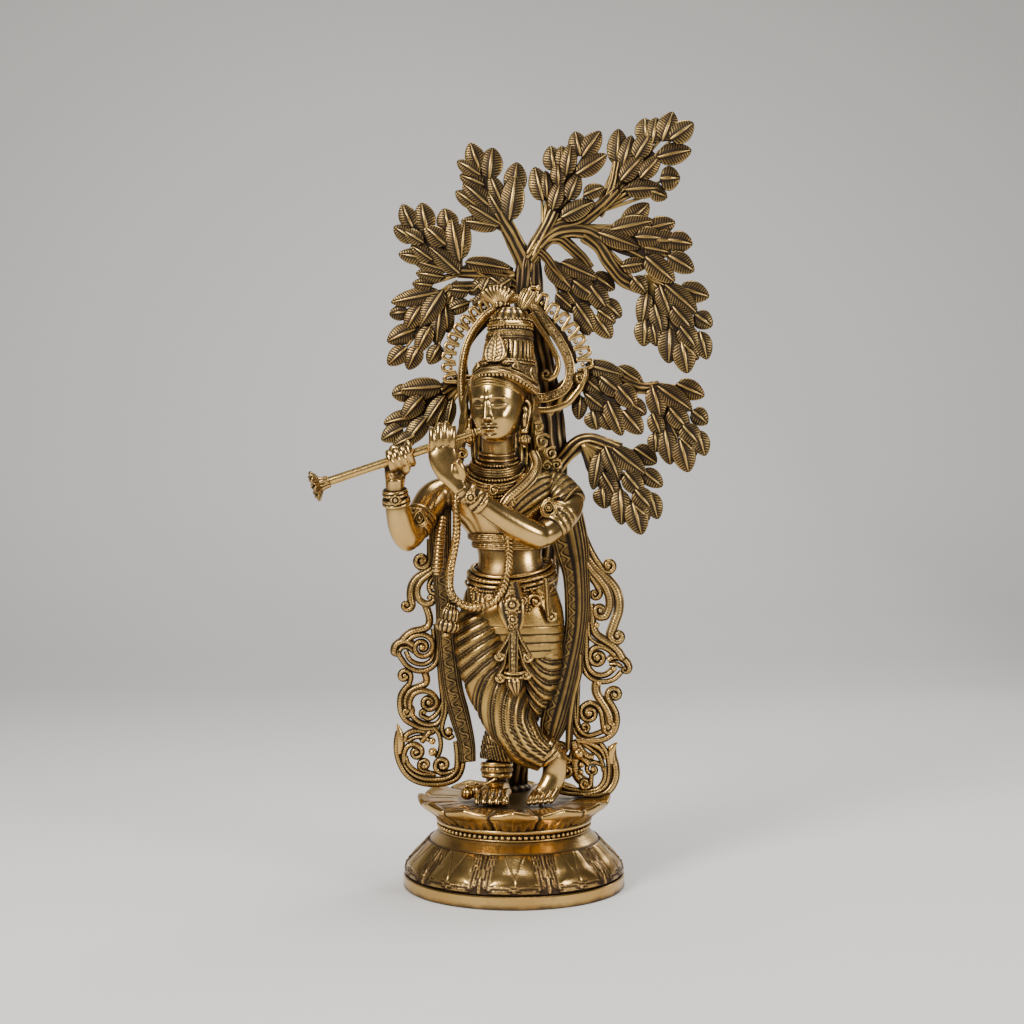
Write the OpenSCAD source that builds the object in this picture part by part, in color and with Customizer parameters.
// Cast brass figurine: a crowned flute player standing cross-legged on a lotus
// pedestal in front of a leafy tree. Millimetres, +Z up, front faces -Y.
// The origin is the centre of the underside of the foot plate.

/* [Pedestal] */
// Diameter of the plain foot plate
base_d = 176; // [172:1:180]
// Thickness of the plain foot plate
foot_h = 10; // [8:1:12]
// Height of the lower lotus bell above the foot plate
bell_h = 36; // [32:1:40]
// Height of the upper lotus seat above the bell
seat_h = 21; // [19:1:24]
// Diameter across the upper lotus petals
seat_d = 150; // [146:1:156]
// Wall thickness of the hollow bell
bell_wall = 5; // [4:0.5:7]

/* [Flute] */
// Radius of the flute between the hand and the flower end
flute_r = 3.4; // [3.0:0.1:3.6]
// Radius of the thin mouth section
mouth_r = 2.4; // [2.0:0.1:2.8]
// Radial clearance in the curled right hand
flute_gap = 0.05; // [0.02:0.01:0.1]

/* [Castings] */
// Thickness of the openwork scroll panels
scroll_t = 6; // [5:0.5:8]
// Thickness of a leaf cluster casting
cluster_t = 8; // [6:1:11]
// Diameter of the fixing studs
stud_d = 5; // [4:0.5:6]

/* [Hidden] */
CLUSTER_COUNT = 13;
$fn = 48;

base_r = base_d / 2;
seat_z = foot_h + bell_h + seat_h;   // top of the lotus seat, where the figure stands
collar_z = foot_h + bell_h + 2;
collar_r = 58;
brass = [0.72, 0.55, 0.30];
dark_brass = [0.45, 0.33, 0.17];
bright_brass = [0.85, 0.68, 0.38];
steel = [0.60, 0.60, 0.62];

// ---------- helpers ----------
function unit(v) = v / norm(v);
// Catmull-Rom value between b and c
function spline(a, b, c, d, t) =
    0.5 * ((2 * b) + (c - a) * t + (2 * a - 5 * b + 4 * c - d) * t * t + (3 * b - a - 3 * c + d) * t * t * t);
// A smooth curve through the stations, with this many steps between each two
function smooth(p, steps = 3) = let (n = len(p)) concat(
    [for (i = [0 : n - 2]) for (k = [0 : steps - 1])
        spline(p[max(i - 1, 0)], p[i], p[i + 1], p[min(i + 2, n - 1)], k / steps)],
    [p[n - 1]]);
function place(s) = [s[0], s[1], s[2]];
function heading(p, i) = unit(place(p[min(i + 1, len(p) - 1)]) - place(p[max(i - 1, 0)]));

// A closed solid between rings that all have the same number of points
module skin(rings) {
    n = len(rings[0]);
    m = len(rings);
    points = [for (r = rings) each r];
    walls = [for (j = [0 : m - 2]) for (i = [0 : n - 1]) let (a = j * n + i, b = j * n + (i + 1) % n)
        each [[a, b + n, b], [a, a + n, b + n]]];
    polyhedron(points, concat([[for (i = [0 : n - 1]) i]], walls,
                              [[for (i = [n - 1 : -1 : 0]) (m - 1) * n + i]]));
}

// A limb or branch: stations are [x, y, z, half width, half depth]; up sets which way depth points
module limb(stations, sides = 12, up = [0, 1, 0], steps = 3) {
    p = smooth(stations, steps);
    skin([for (i = [0 : len(p) - 1])
        let (t = heading(p, i), s = unit(cross(t, up)), d = cross(s, t))
        [for (k = [0 : sides - 1]) let (a = -360 * k / sides)
            place(p[i]) + s * p[i][3] * cos(a) + d * p[i][4] * sin(a)]]);
}

// A trunk of level ellipses: sections are [z, centre x, centre y, half width, half depth]
module loft(sections, sides = 20, steps = 2) {
    p = smooth(sections, steps);
    skin([for (s = p) [for (k = [0 : sides - 1]) let (a = 360 * k / sides)
        [s[1] + s[3] * cos(a), s[2] + s[4] * sin(a), s[0]]]]);
}

// The outline of a flat band of tapering width: points are [x, z, half width]
function band_side(p, side) = [for (i = [0 : len(p) - 1])
    let (a = p[max(i - 1, 0)], b = p[min(i + 1, len(p) - 1)], t = unit([b[0] - a[0], b[1] - a[1]]))
    [p[i][0] - side * t[1] * p[i][2], p[i][1] + side * t[0] * p[i][2]]];
function reversed(p) = [for (i = [len(p) - 1 : -1 : 0]) p[i]];
module band(points, steps = 4) {
    p = smooth(points, steps);
    polygon(concat(band_side(p, 1), reversed(band_side(p, -1))));
}
// Flat work that stands upright, with its front face at y and its back at y + thick
module upright(y, thick) translate([0, y + thick, 0]) rotate([90, 0, 0]) linear_extrude(thick) children();
module on_seat() translate([0, 0, seat_z]) children();

// ---------- pedestal ----------
screw_circle = 70;
screw_r = 2.5;
tray_r = 62;      // the foot plate is thinned inside this radius
tray_floor = 4;
boss_h = 14;
module at_screws() for (a = [45 : 90 : 315]) rotate(a) translate([screw_circle, 0, 0]) children();
module foot_plate() color(brass) difference() {
    rotate_extrude() polygon([[0, 0], [base_r - 0.8, 0], [base_r, 0.8], [base_r, foot_h - 0.8],
                              [base_r - 0.8, foot_h], [tray_r, foot_h], [tray_r, tray_floor], [0, tray_floor]]);
    at_screws() translate([0, 0, -1]) {
        cylinder(r = screw_r, h = foot_h + 2);
        cylinder(r = 2 * screw_r, h = 4);
    }
}
module base_screws() color(steel) at_screws() translate([0, 0, 0.6]) {
    cylinder(r = 2 * screw_r - 0.2, h = 2.4);
    cylinder(r = screw_r - 0.05, h = foot_h - 0.6 + 4);
}
// Outer outline of the bell from its foot to its neck, as [radius, share of the height]
bell_outline = [[86, 0], [87, 0.12], [84, 0.26], [76, 0.48], [68, 0.72], [62, 0.9], [58, 1]];
module base_bell() color(dark_brass) difference() {
    union() {
        rotate_extrude() polygon(concat(
            [for (p = bell_outline) [p[0] * base_d / 176, foot_h + p[1] * bell_h]],
            [for (p = reversed(bell_outline))
                [p[0] * base_d / 176 - bell_wall - (p[1] < 0.95 ? 1 : 0), foot_h + p[1] * bell_h]]));
        translate([0, 0, foot_h]) at_screws() cylinder(r = 6, h = boss_h);
    }
    translate([0, 0, foot_h - 1]) at_screws() cylinder(r = screw_r, h = 6);
}
module bead_collar() color(brass) rotate_extrude()
    translate([collar_r, collar_z]) polygon([[-6, -2], [1.5, -2], [3, 0], [1.5, 2], [-6, 2]]);
seat_wall = 7;    // thickness of the seat over its hollow underside
seat_under = foot_h + bell_h + 4;
module seat_profile() polygon([
    [collar_r - 7, seat_under], [collar_r - 1, seat_under], [collar_r + 1, seat_under + 3],
    [seat_d / 2 - 10, seat_z - 7], [seat_d / 2, seat_z - 2], [seat_d / 2, seat_z + 1],
    [seat_d / 2 - 4, seat_z], [0, seat_z], [0, seat_z - seat_wall], [collar_r - 7, seat_z - seat_wall]]);
stud_places = [[-14, 4], [22, -25], [-3, 44]];   // standing foot, crossed foot, tree foot
module at_studs(z) for (p = stud_places) translate([p[0], p[1], z]) children();
module lotus_seat() color(brass) difference() {
    rotate_extrude() seat_profile();
    at_studs(seat_under) cylinder(d = stud_d, h = seat_h);
}
// Threaded studs that hold the castings down on the seat, with nuts in its hollow underside
module figure_studs() color(steel) at_studs(seat_z - seat_wall - 7) cylinder(d = stud_d - 0.1, h = seat_wall + 7 + 5);
module stud_nuts() color(steel) at_studs(seat_z - seat_wall - 4.8) difference() {
    cylinder(d = 2 * stud_d, h = 4.8, $fn = 6);
    translate([0, 0, -1]) cylinder(d = stud_d, h = 7, $fn = 48);
}
// ---------- figure ----------
module standing_leg() color(brass) on_seat() limb([
    [16, 4, 142, 22, 22], [18, 4, 112, 21, 21], [14, 6, 86, 18, 18], [-2, 8, 62, 16, 16],
    [-14, 6, 42, 14, 13], [-14, 3, 24, 10, 10], [-14, 3, 12, 9, 10]]);
module standing_foot() color(brass) on_seat() limb([
    [-12, 12, 7, 7, 7.3], [-13, 2, 9, 10, 9.5], [-15, -12, 6.6, 11.5, 7], [-16, -24, 4.7, 13, 5],
    [-17, -34, 3.6, 12, 4]], up = [0, 0, 1]);
module crossed_leg() color(brass) on_seat() limb([
    [-22, -3, 142, 23, 23], [-20, -11, 112, 24, 22], [-12, -18, 84, 21, 19], [-3, -21, 64, 18, 17],
    [9, -22, 47, 16, 14], [22, -21, 39, 13, 12]]);
module crossed_foot() color(brass) on_seat() limb([
    [26, -19, 45, 7, 8], [31, -18, 34, 9, 9], [29, -20, 20, 8, 8], [25, -24, 8, 9, 8],
    [18, -31, 4, 8, 4]], up = [0, 1, 0]);
module hips() color(brass) on_seat() loft([
    [116, -2, 0, 38, 25], [130, -2, 0, 42, 28], [150, -2, 0, 42, 28], [170, -2, 0, 37, 24],
    [184, -2, 0, 30, 20]]);
module torso() color(brass) on_seat() loft([
    [178, -2, 0, 30, 19], [191, -2, 0, 26, 17], [203, -4, 0, 28, 18], [216, -7, 0, 34, 20],
    [230, -10, 0, 41, 23], [243, -11, 0, 46, 23], [252, -11, 0, 39, 19], [260, -12, 0, 22, 15],
    [264, -12, 0, 15, 13]]);
module neck() color(brass) on_seat() limb([
    [-12, 1, 258, 14.5, 14], [-12, 0, 270, 13.5, 13], [-13, -3, 284, 13, 13], [-13, -5, 294, 13, 13]],
    up = [0, 1, 0]);
head_centre = [-13, -8, 316];
module head() color(brass) on_seat() loft([
    [285, -14, -16, 7, 8], [289, -14, -13, 13, 17], [297, -13, -10, 18.5, 22], [308, -13, -8, 22, 25],
    [320, -13, -7, 23.5, 26], [332, -12, -6, 23, 25], [342, -12, -5, 19, 21], [350, -11, -5, 9, 10]], sides = 24);
// The curled fingers of the right hand make a round grip for the flute
mouth_end = [-25, -39, 293];
flower_end = [-152, -46, 250];
flute_axis = unit(flower_end - mouth_end);
flute_len = norm(flower_end - mouth_end);
module along_flute() translate(mouth_end)
    rotate([0, acos(flute_axis[2]), atan2(flute_axis[1], flute_axis[0])]) children();
module left_upper_arm() color(brass) on_seat() limb([
    [33, 2, 248, 12, 12], [42, -3, 240, 13.5, 13], [38, -17, 226, 12, 12], [24, -32, 213, 10.5, 10.5]]);
module left_forearm() color(brass) on_seat() limb([
    [20, -36, 211, 10.5, 10.5], [8, -42, 215, 11, 10.5], [-12, -49, 227, 9.5, 9], [-30, -54, 240, 7.5, 7],
    [-40, -56, 247, 6.5, 6]]);
module left_hand() color(brass) on_seat() union() {
    limb([[-40, -56, 247, 6.5, 5.5], [-47, -56, 257, 8.5, 5], [-52, -55, 268, 9.5, 4.5], [-54, -54, 276, 9.5, 4]]);
    for (k = [0 : 3]) limb([[-61 + 4.6 * k, -54, 274, 2.4, 2.6], [-62 + 4.9 * k, -54, 286, 2.3, 2.4],
        [-61.5 + 5 * k, -52, 295 + 1.5 * sin(60 * k), 1.6, 1.8]], sides = 8);
}
module right_upper_arm() color(brass) on_seat() limb([
    [-56, 2, 248, 12, 12], [-66, -2, 240, 13, 13], [-75, -12, 224, 11.5, 11.5], [-81, -23, 211, 10.5, 10.5]]);
module right_forearm() color(brass) on_seat() limb([
    [-82, -25, 207, 9.5, 9.5], [-87, -30, 216, 11, 10.5], [-90, -36, 232, 10, 9.5], [-92, -42, 248, 7.5, 7]]);
module right_hand() color(brass) on_seat() difference() {
    limb([[-92, -42, 246, 7.5, 7], [-92, -44, 256, 9, 8], [-91, -44, 267, 11, 9.5], [-90, -44, 276, 10, 9],
        [-89, -44, 281, 7, 6]]);
    along_flute() cylinder(r = flute_r + flute_gap, h = flute_len);
}

// ---------- crown, hair and jewellery ----------
module crown() color(brass) on_seat() loft([
    [331, -12, -5, 25.5, 27], [339, -10, -4, 26.5, 27], [350, -8, -2, 23.5, 24], [362, -6, 0, 21.5, 22],
    [376, -4, 1, 18, 18], [386, -3, 1, 18, 18], [395, -3, 1, 14, 14], [400, -4, 1, 9, 9]]);
module crown_tuft() color(brass) on_seat() limb([
    [-4, 2, 397, 8, 6], [-6, 2, 405, 12, 6], [-7, 3, 412, 14, 5], [-8, 4, 418, 11, 3]]);
module hair_locks() color(dark_brass) on_seat() {
    limb([[12, 0, 322, 4, 5], [17, 2, 304, 5, 6], [21, 2, 286, 7, 6], [25, 2, 272, 9, 6], [27, 0, 261, 7, 6],
          [29, -2, 253, 4, 5]]);
    limb([[-36, 2, 322, 3, 5], [-37, 2, 300, 4, 6], [-36, 2, 280, 5, 6], [-37, 0, 262, 6, 6], [-37, -2, 252, 4, 5]]);
}
module earrings() color(bright_brass) on_seat() {
    for (p = [[8, -12, 288], [-34.5, -9, 288]]) translate(p) {
        cylinder(r1 = 3.5, r2 = 5, h = 5);
        translate([0, 0, 5]) cylinder(r1 = 5, r2 = 2, h = 6);
        translate([0, 0, 11]) cylinder(r = 1.5, h = 7);
    }
}
// Three rings of necklace that lie on the chest: [tilt, centre z, half width, half depth, tube]
module necklaces() color(bright_brass) on_seat() for (s = [[262, 17, 15, 2], [256, 24, 19, 2.5], [248, 31, 24, 3]])
    limb([for (a = [0 : 30 : 330]) [-12 + s[1] * sin(a), -1 - s[2] * cos(a), s[0] - 7 * cos(a), s[3], s[3]]],
        sides = 8, up = [0, 0, 1], steps = 1);
module shoulder_sash() color(dark_brass) on_seat() limb([
    [34, 10, 256, 12, 4], [24, -4, 261, 15, 4], [10, -21, 252, 14, 4], [-6, -25, 236, 9, 4], [-18, -23, 220, 6, 3]],
    up = [0, 1, 0.6]);
garland_path = [
    [-44, -20, 258, 3.4, 3.4], [-45, -32, 238, 3.4, 3.4], [-45, -31, 212, 3.4, 3.4], [-50, -28, 182, 3.4, 3.4],
    [-49, -30, 166, 3.4, 3.4], [-39, -33, 157, 3.4, 3.4], [-24, -35, 156, 3.4, 3.4], [-12, -34, 164, 3.4, 3.4],
    [-6, -31, 180, 3.4, 3.4], [-4, -27, 200, 3.4, 3.4], [-5, -27, 218, 3.4, 3.4], [-2, -27, 236, 3.4, 3.4]];
module garland() color(bright_brass) on_seat() limb(garland_path, sides = 8, up = [0.1, 1, 0.1], steps = 3);
module garland_tassel() color(brass) on_seat() translate([-48, -30, 158]) rotate([0, 12, 0]) {
    translate([0, 0, -13]) cylinder(r = 7, h = 10);
    translate([0, 0, -3]) cylinder(r = 3.6, h = 4);
    translate([0, 0, -21]) cylinder(r = 9.5, h = 8);
}
module belt() color(bright_brass) on_seat() limb(
    [for (a = [0 : 24 : 336]) [-2 + 37 * sin(a), -1 - 25.5 * cos(a), 178 - 5 * cos(a), 5, 3]],
    sides = 8, up = [0, 0, 1], steps = 1);
module front_sash() color(bright_brass) on_seat() union() {
    limb([[-4, -30, 172, 9, 5], [-2, -33, 158, 11, 8], [0, -35, 142, 9, 7], [-1, -38, 118, 8, 5],
          [0, -40, 100, 9, 5], [0, -38, 84, 3, 3]]);
    translate([16, -24, 156]) rotate([90, 0, 10]) cylinder(r = 7, h = 8);
    translate([24, -20, 145]) rotate([90, 0, 20]) cylinder(r = 6, h = 7);
}
module armlets() color(bright_brass) on_seat() {
    limb([[39, -14, 230, 13.5, 13.5], [34, -21, 223, 13.5, 13.5], [28, -28, 217, 12.5, 12.5]]);
    limb([[-72, -8, 229, 13, 13], [-76, -14, 222, 13, 13], [-79, -20, 215, 12, 12]]);
}
module bracelets() color(bright_brass) on_seat() {
    limb([[-26, -53, 237, 9.5, 9], [-31, -55, 240.5, 9.5, 9], [-36, -56, 244, 9, 8.5]]);
    limb([[-91, -38, 236, 11, 11], [-91.5, -39.5, 240, 11, 11], [-92, -41, 245, 10.5, 10.5]]);
}
module anklets() color(bright_brass) on_seat() {
    limb([[-14, 4, 26, 12, 12.5], [-14, 3, 22, 13, 13.5], [-14, 2, 17, 12, 12.5]]);
    translate([-30, -10, 8]) sphere(r = 6);
    translate([-37, -14, 7]) sphere(r = 5.5);
}

// ---------- shawl and scroll work ----------
// Each hanging end of the shawl is an outline in the XZ plane: [x, z, half width]
module left_shawl() color(dark_brass) on_seat() upright(-4, 11) band([
    [-58, 232, 6], [-59, 212, 11], [-57, 190, 12], [-55, 160, 13], [-53, 130, 10], [-50, 100, 10],
    [-42, 70, 10], [-39, 45, 8], [-40, 28, 6]]);
module right_shawl() color(dark_brass) on_seat() upright(-4, 11) band([
    [41, 240, 9], [44, 218, 14], [49, 190, 13], [51, 160, 13], [50, 130, 12], [44, 100, 11],
    [35, 72, 9], [27, 46, 7]]);
// Tendrils of the openwork, [x, z, half width] along each
left_tendrils = [
    [[-64, 206, 3], [-67, 192, 3], [-72, 186, 3], [-78, 190, 3], [-76, 196, 3]],
    [[-62, 188, 4], [-70, 182, 4.5], [-80, 173, 5], [-83, 161, 4.5], [-85, 155, 4]],
    [[-66, 178, 3], [-74, 166, 3], [-72, 157, 3], [-66, 156, 3], [-63, 161, 3]],
    [[-67, 158, 3], [-68, 144, 4], [-76, 137, 5], [-87, 128, 5], [-93, 119, 4]],
    [[-63, 140, 4], [-66, 128, 6], [-76, 122, 6], [-80, 116, 4]],
    [[-90, 118, 3], [-84, 108, 3.5], [-74, 103, 4], [-64, 106, 4], [-60, 116, 3]],
    [[-72, 104, 3], [-72, 92, 3], [-82, 88, 4], [-92, 96, 4], [-86, 104, 3]],
    [[-84, 92, 3], [-91, 78, 4], [-86, 65, 4], [-72, 60, 4], [-58, 66, 4], [-52, 82, 3]],
    [[-84, 78, 3], [-76, 85, 3], [-66, 82, 4], [-64, 72, 5], [-72, 67, 3]],
    [[-92, 58, 1.5], [-93, 40, 4], [-90, 26, 5.5], [-78, 17, 6], [-60, 14, 6], [-45, 20, 6], [-38, 36, 6]],
    [[-86, 24, 3], [-86, 40, 6], [-76, 42, 6], [-74, 34, 4]],
    [[-70, 62, 4], [-66, 50, 7], [-62, 36, 6], [-52, 26, 7]]];
right_tendrils = [
    [[55, 214, 3], [62, 200, 3.5], [70, 187, 4], [78, 186, 4], [80, 192, 3]],
    [[57, 200, 4], [68, 184, 5], [81, 172, 5], [85, 156, 5], [80, 140, 4], [80, 128, 4], [87, 126, 4]],
    [[60, 184, 4], [72, 174, 4], [78, 158, 4], [72, 145, 4], [63, 146, 4], [63, 155, 3]],
    [[60, 144, 4], [68, 131, 5], [80, 122, 5], [90, 112, 5], [90, 102, 4]],
    [[80, 122, 3], [68, 127, 4], [62, 116, 5], [70, 108, 6], [76, 114, 3]],
    [[56, 118, 3], [58, 102, 4], [68, 94, 4], [80, 98, 4], [86, 108, 4]],
    [[66, 94, 3], [66, 84, 4], [74, 74, 4], [80, 62, 4]],
    [[84, 90, 3], [80, 80, 4], [86, 66, 5], [80, 52, 5], [64, 48, 4], [54, 56, 4], [50, 80, 4], [49, 104, 4]],
    [[74, 76, 4], [62, 82, 4], [56, 72, 5], [62, 66, 5]],
    [[84, 45, 1.5], [79, 34, 5], [82, 18, 6], [74, 6, 6], [60, 3.5, 4], [46, 4.5, 4], [36, 8, 4]],
    [[58, 52, 4], [60, 38, 7], [54, 24, 9], [46, 14, 8]],
    [[74, 40, 3], [66, 32, 4], [66, 20, 6], [60, 10, 6]]];
module tendrils(list) upright(0, scroll_t) offset(delta = 0.35) offset(delta = -0.5) offset(delta = 0.5) for (t = list) band(t, 3);
module left_scrolls() color(brass) on_seat() tendrils(left_tendrils);
module right_scrolls() color(brass) on_seat() tendrils(right_tendrils);

// ---------- halo ----------
halo_x = 5;
halo_z = 364;
halo_y = 20;
band_a = 44;      // half width of the band's middle line
band_b = 50;
band_w = 4;
flame_out = 15;   // how far the flame loops stand out from the band
flames = 22;
function oval(k, grow, n) = let (a = 360 * k / n)
    [halo_x + (band_a + grow) * sin(a), halo_z + (band_b + grow) * cos(a)];
module ring_plate(inner, outer, n) difference() {
    polygon([for (k = [0 : n - 1]) oval(k, outer, n)]);
    polygon([for (k = [0 : n - 1]) oval(k, inner, n)]);
}
// The arch is open below, where the neck and shoulders are
module arch() intersection() {
    children();
    translate([halo_x - 80, halo_z - 40]) square([160, 200]);
}
module halo_band() color(bright_brass) on_seat() upright(halo_y - 3, 7) arch() ring_plate(-band_w, band_w, 48);
module halo_flames() color(brass) on_seat() upright(halo_y - 1, 5) arch() difference() {
    polygon([for (k = [0 : 4 * flames - 1]) oval(k, k % 4 < 2 ? flame_out : flame_out - 4, 4 * flames)]);
    polygon([for (k = [0 : 47]) oval(k, band_w, 48)]);
}
// A short pin behind the top of the arch ties the halo to the trunk
module halo_bracket() color(dark_brass) on_seat() translate([halo_x + 5, halo_y + 2, halo_z + band_b])
    rotate([-90, 0, 0]) cylinder(r = 4, h = 9);

// ---------- tree ----------
module trunk() color(dark_brass) on_seat() union() {
    translate([-4, 46, 0]) cylinder(r = 17, h = 4);
    limb([[-4, 47, 3, 14, 10], [2, 47, 60, 14, 10], [14, 47, 140, 17, 10], [21, 46, 220, 19, 11],
          [21, 44, 290, 19, 11], [16, 40, 350, 15, 11], [13, 34, 400, 13, 10], [13, 30, 425, 11, 9],
          [14, 26, 440, 7, 6]], up = [0, 1, 0]);
}
// Leaf clusters: [stalk end, leaf tip, half width]
clusters = [
    [[66, 26, 474], [146, 12, 548], 32],
    [[24, 22, 460], [66, 12, 540], 31],
    [[-6, 24, 458], [-40, 14, 532], 29],
    [[-44, 24, 424], [-96, 14, 480], 29],
    [[2, 28, 424], [-50, 24, 432], 18],
    [[-46, 30, 418], [-100, 18, 350], 28],
    [[-42, 30, 334], [-108, 16, 292], 26],
    [[28, 27, 434], [84, 20, 376], 29],
    [[58, 22, 462], [146, 10, 424], 29],
    [[106, 22, 422], [152, 8, 346], 28],
    [[52, 28, 344], [108, 12, 298], 29],
    [[112, 22, 334], [146, 8, 264], 27],
    [[56, 30, 286], [104, 10, 212], 28]];
// Scalloped leaf outline along x from 0 to length
function scallop(s, w, j) = w * pow(sin(180 * pow(s, 0.75)), 0.7) * (j % 2 == 0 ? 1 : 0.86);
module cluster_outline(length, w) {
    lobes = 11;
    polygon(concat(
        [[0, -2.5]],
        [for (j = [1 : lobes - 1]) let (s = j / lobes) [s * length, -scallop(s, w, j)]],
        [[length, 0]],
        [for (j = [lobes - 1 : -1 : 1]) let (s = j / lobes) [s * length, scallop(s, w, j)]],
        [[0, 2.5]]));
}
module leaf_cluster(i) color(brass) on_seat() {
    a = clusters[i][0];
    b = clusters[i][1];
    u = unit(b - a);
    v = unit(cross([0, -1, 0], u));
    w = cross(u, v);
    multmatrix([[u[0], v[0], w[0], a[0]], [u[1], v[1], w[1], a[1]], [u[2], v[2], w[2], a[2]], [0, 0, 0, 1]])
        translate([0, 0, -cluster_t / 2]) linear_extrude(cluster_t)
            cluster_outline(norm(b - a), clusters[i][2]);
}
// Branch routes from the trunk to the stalks: [x, y, z, half width, half depth]
crown_routes = [
    [[15, 28, 426, 6, 6], [26, 25, 448, 6, 6], [46, 25, 464, 5, 5], [72, 26, 480, 4, 4]],
    [[12, 28, 428, 6, 6], [15, 25, 446, 6, 6], [28, 21, 468, 5, 5]],
    [[12, 28, 424, 7, 6], [4, 26, 446, 6, 5], [-10, 23, 466, 5, 5]],
    [[10, 32, 408, 6, 6], [-18, 30, 416, 5, 5], [-50, 25, 428, 5, 5]],
    [[10, 32, 412, 5, 5], [-6, 30, 424, 5, 5]],
    [[8, 34, 400, 6, 6], [-22, 34, 410, 5, 5], [-50, 30, 414, 5, 5]],
    [[16, 28, 428, 6, 6], [24, 26, 438, 6, 5], [36, 27, 428, 5, 5]],
    [[16, 26, 430, 6, 6], [30, 22, 450, 6, 5], [64, 21, 460, 5, 5]],
    [[58, 22, 456, 5, 5], [90, 21, 440, 5, 5], [110, 21, 418, 5, 5]]];
left_route = [[14, 42, 320, 7, 7], [-20, 40, 334, 6, 6], [-50, 30, 330, 5, 5]];
right_routes = [
    [[22, 42, 300, 8, 8], [40, 36, 330, 7, 7], [58, 28, 340, 5, 5]],
    [[52, 29, 338, 5, 5], [92, 25, 342, 5, 5], [116, 22, 330, 5, 5]],
    [[22, 44, 240, 9, 9], [38, 40, 272, 9, 9], [52, 34, 286, 8, 8], [62, 28, 280, 6, 6]]];
module branch_set(routes) color(dark_brass) on_seat() for (r = routes) limb(r, sides = 8, steps = 2);
module crown_branches() branch_set(crown_routes);
module left_branch() branch_set([left_route]);
module right_branches() branch_set(right_routes);

// ---------- flute ----------
mouth_len = 24;
module flute() color(bright_brass) on_seat() along_flute() union() {
    cylinder(r = mouth_r, h = mouth_len + 1);
    translate([0, 0, mouth_len]) cylinder(r = flute_r, h = flute_len - mouth_len - 8);
}
module flute_flower() color(bright_brass) on_seat() along_flute() translate([0, 0, flute_len - 10]) union() {
    cylinder(r1 = 4.5, r2 = 6.5, h = 8);
    translate([0, 0, 8]) cylinder(r1 = 8, r2 = 13, h = 5);
}

foot_plate();
base_bell();
bead_collar();
lotus_seat();
base_screws();
figure_studs();
stud_nuts();
standing_leg();
standing_foot();
crossed_leg();
crossed_foot();
hips();
torso();
neck();
head();
left_upper_arm();
left_forearm();
left_hand();
right_upper_arm();
right_forearm();
right_hand();
crown();
crown_tuft();
hair_locks();
earrings();
necklaces();
shoulder_sash();
garland();
garland_tassel();
belt();
front_sash();
armlets();
bracelets();
anklets();
left_shawl();
right_shawl();
left_scrolls();
right_scrolls();
halo_band();
halo_flames();
halo_bracket();
trunk();
crown_branches();
left_branch();
right_branches();
for (i = [1 : CLUSTER_COUNT]) leaf_cluster(i - 1);
flute();
flute_flower();
